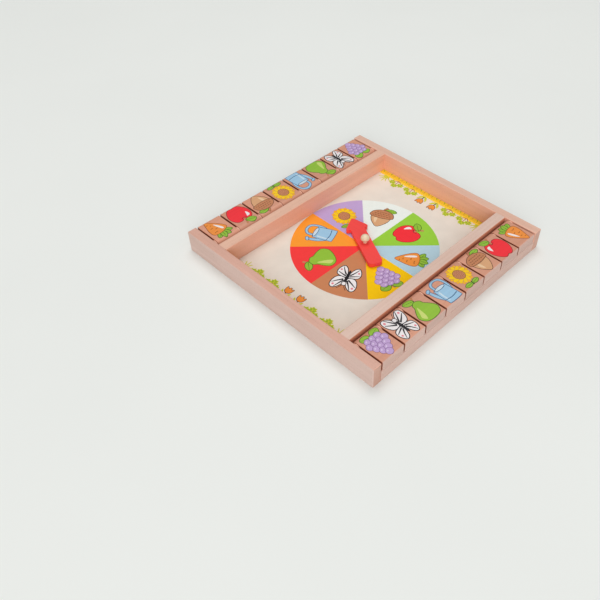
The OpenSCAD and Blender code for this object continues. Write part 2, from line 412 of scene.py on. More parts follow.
def finished(shader, tree, wood, low_rough):
    """Colour, roughness and relief of a wooden surface from its grain node."""
    tree.links.new(wood.outputs["Colour"], shader.inputs["Base Color"])
    rough = remap(tree, wood.outputs["Tone"], 0, 1, low_rough, low_rough + ROUGH_SPREAD)
    tree.links.new(rough, shader.inputs["Roughness"])
    bump = add(tree, "Bump", {"Height": wood.outputs["Height"], "Distance": GRAIN_DEPTH, "Strength": 0.5})
    tree.links.new(bump.outputs["Normal"], shader.inputs["Normal"])


def beech(name, along, seed, top, outside, inside=WARM_WALL, ends=RAIL_ENDS):
    """Lacquered beech with a tint each for its top, its outside, its other faces and its ends; these tints
    are painted light and shade, and on the ends end grain too.
    """
    made, tree, shader = new_material(name, Coat_Weight=0.15, Coat_Roughness=0.4)
    looks = add(tree, "Group", {"Along": GRAIN_WAY[along]}, node_tree=facing).outputs
    step = TINT_STEPS[seed % len(TINT_STEPS)]
    tint = mixed(tree, looks["Outward"], shaded(inside, step), shaded(outside, step))
    tint = mixed(tree, looks["Upward"], tint, shaded(top, step))
    tint = mixed(tree, looks["End"], tint, ends, "MULTIPLY")
    finished(shader, tree, grain_node(tree, along, seed, tint), LACQUER_ROUGH)
    return made


def raw_wood(name, along, seed, tint, fleck, rough=RAW_ROUGH):
    """Unlacquered wood, one tint all over."""
    made, tree, shader = new_material(name)
    finished(shader, tree, grain_node(tree, along, seed, tint, fleck), rough)
    return made


print("lightness of the pieces: from", min(TINT_STEPS), "to", max(TINT_STEPS))

# %% [markdown]
# ## The rails
#
# Six strips of beech make the frame: two end rails, two partitions and two low rest rails. Their grain runs
# along their length. One material could serve them all, but no two boards match in the real game, so each has
# its own, with its top and its outer faces tinted as the photograph shows them. These tints are painted light
# and shade. The tops and the end rails' outer faces are paler where light falls, and the partitions' faces
# towards the tiles are darker, as shade beside the tiles.

# %% Rails
# Painted light and shade: the outer faces of the end rails and tiles are paler, and the rest rails take that
# pale tint all over. The partitions' faces towards the tiles are darker, as shade in the crease beside the
# tiles.
LIT_OUTSIDE = colour(220, 190, 179)
TILE_OUTSIDE = colour(213, 180, 168)
SHADE_BEHIND_TILES = colour(218, 150, 120)
RAILS = {
    "end_rail_left": ("y", colour(224, 176, 158), LIT_OUTSIDE),
    "end_rail_right": ("y", colour(228, 185, 164), LIT_OUTSIDE),
    "partition_near": ("x", colour(230, 199, 184), SHADE_BEHIND_TILES),
    "partition_far": ("x", colour(231, 186, 162), SHADE_BEHIND_TILES),
    "rest_rail_near": ("x", TILE_OUTSIDE, TILE_OUTSIDE),
    "rest_rail_far": ("x", TILE_OUTSIDE, TILE_OUTSIDE),
}
for seed, (name, (along, top, outside)) in enumerate(RAILS.items(), start=1):
    wear(name, beech("beech_" + name, along, seed, top, outside))
print("beech rails:", len(RAILS))

# %% [markdown]
# ## The tiles
#
# The sixteen tiles are slices of one long moulded strip, so their grain runs along the row, and their sawn
# sides are end grain. These sides are tinted much darker than the rest, partly for the end grain and partly
# as painted shade in the narrow gaps between the tiles. The tiles' outer faces are tinted paler, as painted
# light.
# One shared material would run the same tone through all of them. A loop gives
# each tile its own place in the wood and its own lightness.

# %% Tiles
TILE_TOP = colour(215, 153, 126)
# Painted shade and end grain: the tiles' sides face the gaps between tiles, and this dark tint stands for
# both.
TILE_ENDS = (0.44, 0.23, 0.14, 1)
TILE_NAMES = {
    row: sorted(name for name in nodes if name.startswith("tile_" + row)) for row in ("near", "far")
}
ALL_TILES = TILE_NAMES["near"] + TILE_NAMES["far"]
for seed, name in enumerate(ALL_TILES, start=11):
    wear(name, beech("beech_" + name, "x", seed, TILE_TOP, TILE_OUTSIDE, TILE_TOP, TILE_ENDS))
print("beech tiles:", len(ALL_TILES))

# %% [markdown]
# ## Plywood, dowels, discs and peg
#
# The base board is birch plywood and the dowels are pale rod. The spacer discs
# are cut from thin beech board, so their grain runs up and down rather than
# along the dowel. The peg in the middle of the spinner is turned and polished,
# so it is smoother than the rest. Masks for tops and ends would be wasted on
# pieces so small or so well hidden, so one tint each is enough.

# %% Raw wood
BIRCH = colour(232, 210, 172)
CREAM = colour(236, 220, 188)
PEG_ROUGH = 0.38
DOWELS = ("hinge_dowel_near", "hinge_dowel_far", "joint_dowels")
SPACERS = ("hinge_spacers_near", "hinge_spacers_far")
wear("base_board", raw_wood("birch_plywood", "y", 31, BIRCH, fleck=0.15))
for seed, name in enumerate(DOWELS, start=41):
    wear(name, raw_wood("raw_" + name, "x", seed, BIRCH, fleck=0.25))
for seed, name in enumerate(SPACERS, start=47):
    wear(name, raw_wood("raw_" + name, "z", seed, WARM_WALL, fleck=0.2))
wear("spinner_peg", raw_wood("turned_peg", "z", 51, CREAM, fleck=0.1, rough=PEG_ROUGH))
print("dowels:", len(DOWELS), "nodes, spacer discs:", len(SPACERS), "nodes, and the board and the peg")

# %% [markdown]
# ## Mottle and tooth
#
# No sheet of paper and no coat of paint is quite even. Its colour wanders softly
# over some millimetres, and its surface has a tooth of a few hundredths. Both
# are noise: the first mixes two tints, and the second feeds a Bump node, which
# is cheaper than real relief and looks the same at this depth.

# %% Mottle and tooth


def mottled(tree, base, deeper, size_mm):
    """A colour that wanders softly between two tints over the given distance."""
    spot = add(tree, "TexCoord").outputs["Object"]
    made = add(tree, "TexNoise", {"Vector": spot, "Scale": 1 / (size_mm * MM), "Detail": 3.0})
    return mixed(tree, remap(tree, made.outputs["Fac"], *FINE_SPAN), base, deeper)


def toothed(tree, size_mm, depth_mm):
    """A normal with a fine tooth, as paper and sprayed paint have."""
    spot = add(tree, "TexCoord").outputs["Object"]
    made = add(tree, "TexNoise", {"Vector": spot, "Scale": 1 / (size_mm * MM), "Detail": 2.0})
    bump = add(tree, "Bump", {"Height": made.outputs["Fac"], "Distance": depth_mm * MM, "Strength": 0.4})
    return bump.outputs["Normal"]


print("surface helpers:", mottled.__name__, "and", toothed.__name__)

# %% [markdown]
# ## The paper
#
# The tray floor is a sheet of uncoated printed paper, glued to the plywood. It
# is nearly white, a little warm. A plain white would look like plastic, so the
# sheet gets a faint mottle, a fine tooth and hardly any shine.

# %% Paper
PAPER = colour(236, 226, 214)
paper, tree, shader = new_material("printed_paper", Roughness=0.7, Specular_IOR_Level=0.15)
tree.links.new(mottled(tree, PAPER, shaded(PAPER, factor=0.95), size_mm=18), shader.inputs["Base Color"])
tree.links.new(toothed(tree, size_mm=0.5, depth_mm=0.02), shader.inputs["Normal"])
wear("tray_floor_paper", paper)
print("paper:", len(tree.nodes), "nodes")

# %% [markdown]
# ## The red arrow
#
# The arrow is a flat piece of painted wood. One flat red would do for plastic,
# but paint hides only the colour of wood and not all of its grain. So the grain
# group is placed under it, and its tone alone comes through, in the depth of the
# red and in the gloss.

# %% Arrow
ARROW_RED = colour(254, 70, 66)
PAINT_ROUGH = (0.38, 0.48)
paint, tree, shader = new_material("red_paint", Specular_IOR_Level=0.3, Coat_Weight=0.12, Coat_Roughness=0.3)
under = grain_node(tree, "y", 61, (1, 1, 1, 1))
coat = mixed(tree, under.outputs["Tone"], ARROW_RED, shaded(ARROW_RED, factor=0.88))
tree.links.new(coat, shader.inputs["Base Color"])
tree.links.new(remap(tree, under.outputs["Tone"], 0, 1, *PAINT_ROUGH), shader.inputs["Roughness"])
tree.links.new(toothed(tree, size_mm=0.8, depth_mm=0.03), shader.inputs["Normal"])
wear("spinner_arrow", paint)
print("red paint:", len(tree.nodes), "nodes")

# %% [markdown]
# ## The washer
#
# The washer under the arrow is plain moulded plastic, off-white like an old
# button. It lies almost out of sight, so a faint mottle is all that it needs.

# %% Washer
IVORY = colour(238, 232, 218)
IVORY_SHADE = colour(230, 222, 206)
plastic, tree, shader = new_material("washer_plastic", Roughness=0.4)
tree.links.new(mottled(tree, IVORY, IVORY_SHADE, size_mm=6), shader.inputs["Base Color"])
wear("spinner_washer", plastic)
print("washer plastic:", len(tree.nodes), "nodes")

# %% [markdown]
# ## Softer edges
#
# No edge of a real wooden piece is a mathematical line. The rails' and tiles'
# long edges were already sanded round in the model, and the small bevel here
# breaks the ones that are left, so that each catches a thin highlight. It is a
# modifier, which leaves the model's own mesh as it was.

# %% Bevels
BEVEL_MM = {"arrow": 1.1, "tile": 0.3, "rail": 0.3, "partition": 0.3}
SHARP = math.radians(50)


def soften(piece, width_mm):
    """Breaks the sharp edges of a CAD node."""
    bevel = piece.modifiers.new("broken edges", "BEVEL")
    bevel.width = width_mm * MM
    bevel.segments = 3
    bevel.limit_method = "ANGLE"
    bevel.angle_limit = SHARP


for name, piece in nodes.items():
    for kind, width_mm in BEVEL_MM.items():
        if kind in name:
            soften(piece, width_mm)
print("pieces with broken edges:", sum(len(piece.modifiers) > 0 for piece in nodes.values()))

# %% [markdown]
# ## Drawing in code
#
# All the prints are flat shapes of one colour each with a darker line round
# them. They could be traced as curves in Blender's viewport. In code a shape is
# simply a list of points in millimetres, so it can be measured, repeated and
# mirrored. The first tools draw an oval and a smooth closed curve through
# chosen points.

# %% Ovals and curves


def oval(x, y, across, up=None, turned=0.0, points=20):
    """An ellipse from its centre and its half sizes."""
    up = across if up is None else up
    angle = math.radians(turned)
    shape = []
    for step in range(points):
        part = math.tau * step / points
        px, py = across * math.cos(part), up * math.sin(part)
        shape.append((
            x + px * math.cos(angle) - py * math.sin(angle),
            y + px * math.sin(angle) + py * math.cos(angle),
        ))
    return shape


def blend_of(a, b, c, d, t):
    """One coordinate of a Catmull-Rom curve: b at t 0, c at t 1, with a and d beyond them."""
    bend = (2 * a - 5 * b + 4 * c - d) * t**2
    return 0.5 * (2 * b + (c - a) * t + bend + (3 * b - a - 3 * c + d) * t**3)


def between(before, start, end, after, steps):
    """Points from start towards end on a smooth curve through all four."""
    made = []
    for step in range(steps):
        t = step / steps
        made.append(tuple(blend_of(a, b, c, d, t) for a, b, c, d in zip(before, start, end, after)))
    return made


def smooth(corners, steps=5):
    """A smooth closed curve through the corners."""
    count = len(corners)
    shape = []
    for i in range(count):
        four = [corners[(i + step) % count] for step in (-1, 0, 1, 2)]
        shape += between(*four, steps)
    return shape


print("points on an oval:", len(oval(0, 0, 1)), "and on a curve through 4:", len(smooth([(0, 0)] * 4)))

# %% [markdown]
# ## Ribbons
#
# Stems, handles, blades of grass and creases are strokes, as from a brush that
# is pressed less and less. A ribbon follows a smooth path and steps half its
# width to either side of it, so one list of points gives a stroke of any width
# and taper.

# %% Ribbons


def ribbon(path, width, end_width=None, steps=5):
    """A stroke along a smooth path, as wide as width at its start and end_width at its end."""
    end_width = width if end_width is None else end_width
    padded = [path[0]] + list(path) + [path[-1]]
    middle = []
    for i in range(len(path) - 1):
        middle += between(*padded[i:i + 4], steps)
    middle.append(path[-1])
    left, right = [], []
    for i, (x, y) in enumerate(middle):
        ax, ay = middle[max(i - 1, 0)]
        bx, by = middle[min(i + 1, len(middle) - 1)]
        length = math.hypot(bx - ax, by - ay)
        half = 0.5 * (width + (end_width - width) * i / (len(middle) - 1))
        nx, ny = -(by - ay) / length * half, (bx - ax) / length * half
        left.append((x + nx, y + ny))
        right.append((x - nx, y - ny))
    return left + right[::-1]


print("points on a short ribbon:", len(ribbon([(0, 0), (1, 0)], 0.5)))

# %% [markdown]
# ## Outlines
#
# Each printed shape has a thin darker line round it. Drawing the line as a
# stroke of its own would leave joints and gaps. A copy of the shape that is
# grown a little and laid underneath shows as an even line all round. A picture
# is therefore a list of (ink, shape) from the bottom up.

# %% Outlines
LINE = 0.65


def area(shape):
    """The signed area of a shape: positive if it runs anticlockwise."""
    return 0.5 * sum(
        ax * by - bx * ay for (ax, ay), (bx, by) in zip(shape, shape[1:] + shape[:1])
    )


def anticlockwise(shape):
    """The shape, turned round if it runs clockwise."""
    return shape if area(shape) > 0 else shape[::-1]


def grow(shape, distance):
    """The shape with its edge moved outwards."""
    shape = anticlockwise(shape)
    grown = []
    for i, (x, y) in enumerate(shape):
        (ax, ay), (bx, by) = shape[i - 1], shape[(i + 1) % len(shape)]
        length = math.hypot(bx - ax, by - ay) or 1
        grown.append((x + (by - ay) / length * distance, y - (bx - ax) / length * distance))
    return grown


def inked(ink, line, shape, width=LINE):
    """One shape with an outline."""
    return [(line, grow(shape, width)), (ink, shape)]


print("a circle of 10 mm, grown by a line:", round(area(grow(oval(0, 0, 5), LINE)), 1), "mm2")

# %% [markdown]
# ## Placing a picture
#
# The same picture is used on a tile and on the wheel, at another size and
# turned. Two tools place it: one scales, turns and moves it, and the other makes
# it fill a box. Filling both ways exactly would squash some pictures, so the
# second lets one side grow only a little more than the other.

# %% Placing


def moved(picture, scale=1.0, turned=0.0, to=(0, 0)):
    """A picture, scaled and turned about its origin and then moved."""
    angle = math.radians(turned)
    cos, sin = scale * math.cos(angle), scale * math.sin(angle)
    return [
        (ink, [(to[0] + x * cos - y * sin, to[1] + x * sin + y * cos) for x, y in shape])
        for ink, shape in picture
    ]


def fitted(picture, width, height, stretch=1.12):
    """A picture, centred on the origin and made to fill a box, with hardly any distortion."""
    across = [x for _, shape in picture for x, _ in shape]
    up = [y for _, shape in picture for _, y in shape]
    middle_x, middle_y = (min(across) + max(across)) / 2, (min(up) + max(up)) / 2
    scale_x, scale_y = width / (max(across) - min(across)), height / (max(up) - min(up))
    most = stretch * min(scale_x, scale_y)
    scale_x, scale_y = min(scale_x, most), min(scale_y, most)
    return [
        (ink, [((x - middle_x) * scale_x, (y - middle_y) * scale_y) for x, y in shape])
        for ink, shape in picture
    ]


small_circle = moved([("ink", oval(0, 0, 5))], scale=0.5)[0][1]
print("a circle of 10 mm, drawn half as big:", round(area(small_circle), 1), "mm2")

# %% [markdown]
# ## Eight garden pictures
#
# Every tile has one picture, and each picture comes back on the wheel. They are
# plain garden things, drawn to fill a tile, so that each gives it one strong
# colour from arm's length. Six of them have leaves, so the leaf is a function: a
# pointed curve with a vein from its base to its tip.

# %% Leaf
PICTURES = []


def add_picture(draw):
    """Notes a picture for the tiles and prints how many shapes it has."""
    PICTURES.append(draw)
    print(draw.__name__ + ":", len(draw()), "shapes")


def leaf(ink, line, base, tip, width):
    """A pointed leaf from its base to its tip, with a middle vein."""
    (x0, y0), (x1, y1) = base, tip
    length = math.hypot(x1 - x0, y1 - y0)
    nx, ny = -(y1 - y0) / length * width / 2, (x1 - x0) / length * width / 2
    side = [(x0 + (x1 - x0) * t, y0 + (y1 - y0) * t) for t in (0.3, 0.7)]
    shape = [base] + [(x - nx, y - ny) for x, y in side] + [tip] + [(x + nx, y + ny) for x, y in side[::-1]]
    return inked(ink, line, smooth(shape, 4)) + [(line, ribbon([base, tip], 0.6, 0.2, steps=2))]


print("leaf:", len(leaf("green", "dark green", (0, 0), (9, 0), 4)), "shapes")

# %% [markdown]
# ## Grapes
#
# A bunch of grapes is one berry, repeated. So a loop draws it, in rows of three,
# four, three, two and one below two leaves. Each berry lies over the one before,
# as in a real bunch, and has a pale glint at its upper left.

# %% Grapes
BERRY_ROWS = ((8.6, 3), (2.6, 4), (-3.4, 3), (-9.2, 2), (-14, 1))
BERRY_STEP = 6.8
BERRY_R = 4.2


def grapes():
    """A bunch of grapes under two leaves."""
    picture = [("brown", ribbon([(0, 9), (0.6, 13), (-2, 18)], 2.2, 1.5))]
    picture += leaf("green", "dark green", (1, 12), (13, 16), 9)
    picture += leaf("green", "dark green", (-0.5, 12), (-12, 15), 8)
    for y, count in BERRY_ROWS:
        for place in range(count):
            x = BERRY_STEP * (place - (count - 1) / 2)
            picture += inked("purple", "dark purple", oval(x, y, BERRY_R), 0.4)
            picture.append(("pale purple", oval(x - 1.2, y + 1.4, 1.3, 0.9, 35, 10)))
    return picture


add_picture(grapes)

# %% [markdown]
# ## Butterfly
#
# A butterfly is the same on both sides. Only its right half is drawn, and the
# loop lays down that half and its mirror image, so the two can't drift apart.
# The body and the head go over the middle last.

# %% Butterfly
WING_STRIPES = (
    ([(2, 4.4), (5.8, 10), (9.6, 16.6)], 2.2), ([(3, 3), (8.5, 6.6), (14, 10.6)], 2.2),
    ([(2.4, -2), (7.5, -4), (12.8, -6)], 1.9), ([(2.4, -4), (6, -8.6), (9.4, -14.6)], 2.0),
)


def mirrored(shape):
    """The shape on the other side of the picture's upright middle line."""
    return [(-x, y) for x, y in shape]


def butterfly():
    """A white butterfly with black stripes and four pink spots."""
    upper = smooth([(1.2, 3), (4, 12), (10, 17), (14.4, 15), (14.6, 8), (11, 1.5), (5, 0)], 4)
    lower = smooth([(1.2, -1), (7, -1), (12.5, -3), (13.5, -9), (9.5, -15.5), (5, -13.5), (2, -7)], 4)
    picture = []
    for flip in (list, mirrored):
        picture += inked("white", "black", flip(upper), 1.0)
        picture += inked("white", "black", flip(lower), 1.0)
        picture += [("black", flip(ribbon(path, width, 0.7))) for path, width in WING_STRIPES]
        picture.append(("pink", flip(oval(11.6, 12.9, 1.5))))
        picture.append(("pink", flip(oval(10.6, -9.8, 1.3))))
        picture.append(("black", flip(ribbon([(0.6, 8), (2.2, 13.4), (5.6, 17.6)], 0.8, 0.6))))
    picture.append(("black", oval(0, -1, 2.0, 10.5)))
    picture += inked("white", "black", oval(0, 9, 2.3), 0.8)
    return picture


add_picture(butterfly)

# %% [markdown]
# ## Pear
#
# A pear is a narrow dome that swells into a round belly. Twelve points on a
# smooth closed curve are enough for it, and a pale shape along its left side is
# the light on its skin.

# %% Pear


def pear():
    """A green pear with one leaf."""
    body = smooth([
        (0, 10.5), (-4.8, 8), (-6.2, 3.5), (-10.6, -2.5), (-13, -9), (-9, -15.8),
        (0, -17.6), (9, -15.8), (13, -9), (10.6, -2.5), (6.2, 3.5), (4.8, 8),
    ])
    shine = smooth([(-7.8, -4.5), (-10, -9.5), (-7, -14), (-4.8, -10), (-3.6, -3), (-3.6, 3.5)], 4)
    picture = [("brown", ribbon([(0, 9), (0.3, 13), (2.8, 17.5)], 1.8, 2.4))]
    picture += leaf("green", "dark green", (0.6, 12), (-11.5, 15.5), 7)
    picture += inked("green", "dark green", body)
    picture.append(("pale green", shine))
    return picture


add_picture(pear)

# %% [markdown]
# ## Watering can
#
# A watering can is a drum with a spout, a rose and a bent handle. The spout
# and the handle are ribbons, and the drum is drawn over their ends, so nothing
# has to be cut to fit.

# %% Watering can


def watering_can():
    """A blue can with its spout to the left."""
    body = smooth([
        (-5, -15.5), (10, -15.5), (12, -13), (11, 3.5), (9.2, 5.4), (-5.4, 5.4), (-7, 3.5), (-7, -13),
    ], 4)
    handle = [(-3.5, 5), (-3, 12.5), (3.5, 16), (11, 13.5), (13, 4), (10, -6)]
    picture = inked("blue", "dark blue", ribbon([(-5, -9.5), (-9.8, -1), (-11.8, 8)], 4.8, 2.8))
    picture += inked("blue", "dark blue", oval(-11.6, 9.6, 3.0, 1.6, 25))
    picture += inked("blue", "dark blue", ribbon(handle, 2.4, 2.2))
    picture += inked("blue", "dark blue", body)
    picture += inked("pale blue", "dark blue", oval(2, 5.2, 7.2, 1.7))
    picture.append(("pale blue", ribbon([(-3.8, 1.5), (-4.4, -6), (-4, -12.5)], 2.2, 1.4)))
    picture.append(("dark blue", ribbon([(-6.6, -9.6), (2, -10.8), (11.2, -9.6)], 0.8)))
    return picture


add_picture(watering_can)

# %% [markdown]
# ## Sunflower
#
# The sunflower has two rings of twelve petals. The back one reaches further, and
# the front one is turned by half a step, so both are seen. The seeds follow the
# rule that real ones do: each turns by the golden angle from the last and lies a
# little further out, which packs them evenly without any two in line.

# %% Sunflower
PETALS = 12
PETAL_RINGS = ((10.8, "gold"), (9.8, "yellow"))
SEEDS = 26
SEED_SPREAD = 1.24
GOLDEN_ANGLE = math.radians(137.5)


def sunflower():
    """A sunflower head on a short stem with two leaves."""
    picture = [("dark green", ribbon([(0, -10), (0.8, -15), (0, -19)], 2.2, 2.0))]
    picture += leaf("green", "dark green", (0.6, -16.4), (12, -15.4), 5)
    picture += leaf("green", "dark green", (0.4, -16), (-12, -16), 5)
    head = []
    for ring, (reach, ink) in enumerate(PETAL_RINGS):
        for step in range(PETALS):
            angle = 360 * (step + 0.5 * ring) / PETALS
            petal = smooth([(0, 2), (3.5, reach - 1.6), (0, reach + 5.4), (-3.5, reach - 1.6)], 4)
            head += moved(inked(ink, "brown", petal, 0.45), turned=-angle)
    head += inked("brown", "dark brown", oval(0, 0, 7.4), 0.5)
    for seed in range(SEEDS):
        radius, angle = SEED_SPREAD * math.sqrt(seed + 0.5), seed * GOLDEN_ANGLE
        head.append(("dark brown", oval(radius * math.cos(angle), radius * math.sin(angle), 0.36, points=6)))
    return picture + moved(head, to=(0, 2.4))


add_picture(sunflower)

# %% [markdown]
# ## Acorn
#
# An acorn is a smooth nut in a scaly cap. The cap's scales are short curved
# lines in three rows, each row shifted by half a step from the one below, like
# tiles on a roof. A loop places them and leaves out those that would cross the
# cap's edge.

# %% Acorn
SCALE_ROWS = (1.6, 4.8, 8)
SCALE_STEP = 3.1
CAP_REACH = 10  # how far the lowest row goes to either side
CAP_TAPER = 1.6  # how much less each row above it does


def acorn():
    """A nut in its cap, with a leaf."""
    nut = smooth([(-9.6, 1), (-9.6, -5), (-6, -12), (0, -17.6), (6, -12), (9.6, -5), (9.6, 1), (0, 3)])
    shine = smooth([(-6.2, -3), (-6, -7.5), (-3.2, -12), (-2.8, -7.5), (-3.2, -3.2)], 4)
    cap = smooth([
        (-12.8, 1.6), (-11.2, 7.4), (-5.4, 11.4), (0, 12.2), (5.4, 11.4), (11.2, 7.4), (12.8, 1.6),
        (10.4, -0.6), (0, -2), (-10.4, -0.6),
    ])
    picture = inked("brown", "dark brown", ribbon([(0, 11), (0.6, 14), (2.8, 17)], 2.2, 2.8), 0.4)
    picture += leaf("green", "dark green", (1, 12.6), (13.5, 13), 6)
    picture += inked("tan", "dark brown", nut)
    picture.append(("pale tan", shine))
    picture += inked("brown", "dark brown", cap)
    for row, y in enumerate(SCALE_ROWS):
        for place in range(-3, 4):
            x = SCALE_STEP * place + (SCALE_STEP / 2 if row % 2 else 0)
            if abs(x) < CAP_REACH - CAP_TAPER * row:
                scale_line = [(x - 1, y + 0.6), (x, y - 0.4), (x + 1, y + 0.6)]
                picture.append(("dark brown", ribbon(scale_line, 0.5, steps=2)))
    return picture


add_picture(acorn)

# %% [markdown]
# ## Apple
#
# An apple is wider than it is tall, with a dip at the stalk and a shallower one
# below. The same smooth curve as the pear's makes it, and one white shape near
# the shoulder makes its skin look polished.

# %% Apple


def apple():
    """A red apple with one leaf."""
    body = smooth([
        (0, 7), (-4.4, 9.2), (-10.4, 8.2), (-14, 1.8), (-13.6, -6), (-9.4, -13.6), (-4.4, -16.8),
        (0, -15.4), (4.4, -16.8), (9.4, -13.6), (13.6, -6), (14, 1.8), (10.4, 8.2), (4.4, 9.2),
    ])
    picture = inked("red", "dark red", body)
    picture.append(("white", smooth([(-10.6, 3), (-9.2, 5.8), (-5.4, 6), (-6.6, 3.2), (-9, -2)], 4)))
    picture.append(("dark red", ribbon([(-3.6, 7), (0, 5.4), (3.6, 7)], 1.0, 0.6)))
    picture.append(("brown", ribbon([(0, 6), (0.2, 11), (2.8, 16.5)], 1.8, 2.6)))
    picture += leaf("green", "dark green", (0.8, 11), (-11.5, 15), 7)
    return picture


add_picture(apple)

# %% [markdown]
# ## Carrot
#
# A carrot tapers to a point and has creases across its skin, shorter towards the
# tip. Its leaves are the same leaf as before, fanned out from the crown. The
# whole picture leans a little, which looks livelier than an upright one.

# %% Carrot
LEAF_TIPS = ((-9.5, 13.5), (9.5, 13.5), (-3.4, 17.4), (3.8, 17.6))
CREASES = ((4.2, 3, 4.6), (-0.4, -1, 3.2), (3.2, -5, 3.2), (0, -9.6, 2.4), (1.8, -13.4, 1.6))


def carrot():
    """A carrot with its leaves."""
    body = smooth([
        (-7.6, 6.6), (-9.4, 2.6), (-7.4, -4.6), (-4, -12), (0.4, -18.4), (4.2, -12), (7.6, -4.6), (9.4, 2.6),
        (7.6, 6.6), (0, 8.2),
    ])
    picture = []
    for tip in LEAF_TIPS:
        picture += leaf("green", "dark green", (0, 6.6), tip, 5.4)
    picture += inked("orange", "dark orange", body)
    picture.append(("white", smooth([(-6, 4), (-3.8, 4.6), (-2.8, -3.4), (-3.2, -9), (-5.4, -3.4)], 4)))
    for x, y, reach in CREASES:
        crease = [(x - reach / 2, y + 0.3), (x, y - 0.2), (x + reach / 2, y + 0.3)]
        picture.append(("dark orange", ribbon(crease, 0.9, 0.5)))
    return moved(picture, scale=0.98, turned=12)


add_picture(carrot)

# %% [markdown]
# ## Inks
#
# The prints use clear, slightly chalky colours, each with a darker one for its
# lines and sometimes a paler one for light. The numbers could stand beside each
# shape, but one table lets a colour be changed in one place. The wheel's sectors
# have inks of their own, because flat ink on paper looks different from the
# same ink on wood.

# %% Ink colours
INKS = {
    "purple": colour(197, 166, 214), "dark purple": colour(96, 66, 120), "pale purple": colour(222, 204, 234),
    "white": colour(245, 240, 240), "black": colour(38, 36, 40), "pink": colour(232, 140, 150),
    "green": colour(150, 196, 62), "dark green": colour(56, 96, 34), "pale green": colour(206, 222, 122),
    "blue": colour(162, 203, 231), "dark blue": colour(54, 92, 134), "pale blue": colour(208, 228, 240),
    "yellow": colour(255, 208, 20), "gold": colour(250, 184, 24),
    "brown": colour(200, 134, 94), "dark brown": colour(88, 48, 28),
    "tan": colour(222, 170, 126), "pale tan": colour(240, 204, 164),
    "red": colour(250, 52, 62), "dark red": colour(136, 18, 32),
    "orange": colour(244, 150, 66), "dark orange": colour(156, 78, 28),
    "wheel white": colour(240, 246, 240), "wheel green": colour(157, 212, 66),
    "wheel blue": colour(185, 216, 230), "wheel yellow": colour(255, 205, 3),
    "wheel brown": colour(206, 135, 93), "wheel red": colour(250, 64, 64),
    "wheel orange": colour(255, 160, 52), "wheel purple": colour(195, 167, 216),
    "olive": colour(206, 208, 62), "leaf": colour(160, 188, 56),
    "straw": colour(255, 216, 60), "ear": colour(244, 184, 40), "twig": colour(176, 116, 86),
}
print("inks:", len(INKS))

# %% [markdown]
# ## Ink on two grounds
#
# Ink on wood and ink on paper look different. On the tiles it is thin enough
# for the grain to show through as a change of tone. On paper it is even, with
# only a trace of mottle. One material for both would be wrong on one of them, so
# each ink can become two materials, each made when a picture first needs it.

# %% Ink materials
PAPER_INK_MOTTLE = 0.97
WOOD_INK_PALE = 1.03
WOOD_INK_DEEP = 0.86
WOOD_INK_ROUGH = (0.46, 0.56)
WOOD_INK_RELIEF = 0.03 * MM
made_inks = {}


def ink_on_paper(name):
    """An ink as it looks on the tray floor."""
    label = "paper_" + name.replace(" ", "_")
    made, tree, shader = new_material(label, Roughness=0.7, Specular_IOR_Level=0.12)
    tint = mottled(tree, INKS[name], shaded(INKS[name], PAPER_INK_MOTTLE), size_mm=5)
    tree.links.new(tint, shader.inputs["Base Color"])
    tree.links.new(toothed(tree, size_mm=0.5, depth_mm=0.015), shader.inputs["Normal"])
    return made


def ink_on_wood(name):
    """An ink as it looks on a tile, with the grain under it."""
    label = "tile_" + name.replace(" ", "_")
    made, tree, shader = new_material(label, Specular_IOR_Level=0.2, Coat_Weight=0.05)
    under = grain_node(tree, "x", 71, (1, 1, 1, 1))
    pale, deep = shaded(INKS[name], WOOD_INK_PALE), shaded(INKS[name], WOOD_INK_DEEP)
    tree.links.new(mixed(tree, under.outputs["Tone"], pale, deep), shader.inputs["Base Color"])
    tree.links.new(remap(tree, under.outputs["Tone"], 0, 1, *WOOD_INK_ROUGH), shader.inputs["Roughness"])
    relief = {"Height": under.outputs["Height"], "Distance": WOOD_INK_RELIEF, "Strength": 0.4}
    tree.links.new(add(tree, "Bump", relief).outputs["Normal"], shader.inputs["Normal"])
    return made


def ink_material(name, make):
    """The material for an ink on one kind of ground, made once."""
    if (name, make) not in made_inks:
        made_inks[name, make] = make(name)
    return made_inks[name, make]


print("grounds for ink:", ink_on_paper.__name__, "and", ink_on_wood.__name__)

# %% [markdown]
# ## From shapes to triangles
#
# Stacking one flat mesh per shape would leave dozens of sheets lying in each
# other. A constrained triangulation does better: it cuts all the outlines
# against each other and says which shapes cover each triangle. Each triangle
# then takes the ink of the topmost shape. Extra cut lines can be added, for a
# print that has to bend.

# %% Triangles
INSIDE_ONLY = 1  # asks for triangles inside the shapes and none outside
SAME_POINT = 1e-4  # points closer than this many millimetres are one


def cut_up(picture, cuts):
    """The picture's points and its triangles, each with the number of its topmost shape."""
    points, faces = [], []
    for _, shape in picture:
        faces.append(list(range(len(points), len(points) + len(shape))))
        points += [Vector(point) for point in anticlockwise(shape)]
    edges = []
    for start, end in cuts:
        edges.append((len(points), len(points) + 1))
        points += [Vector(start), Vector(end)]
    cut = geometry.delaunay_2d_cdt(points, edges, faces, INSIDE_ONLY, SAME_POINT)
    flat, _, triangles, _, _, covers = cut
    return flat, [(corners, max(over)) for corners, over in zip(triangles, covers) if over]


print("an apple is cut into", len(cut_up(apple(), [])[1]), "triangles")

# %% [markdown]
# ## A film of ink
#
# A print has no thickness that anyone could feel. It could be colour in the
# wood's own material, but its crisp edges would need an image or a very fine
# mesh. Here it is a mesh of its own, a single film 0.03 mm above the wood or
# paper, with one material slot for each ink.

# %% The film
FILM_LIFT = 0.03 * MM


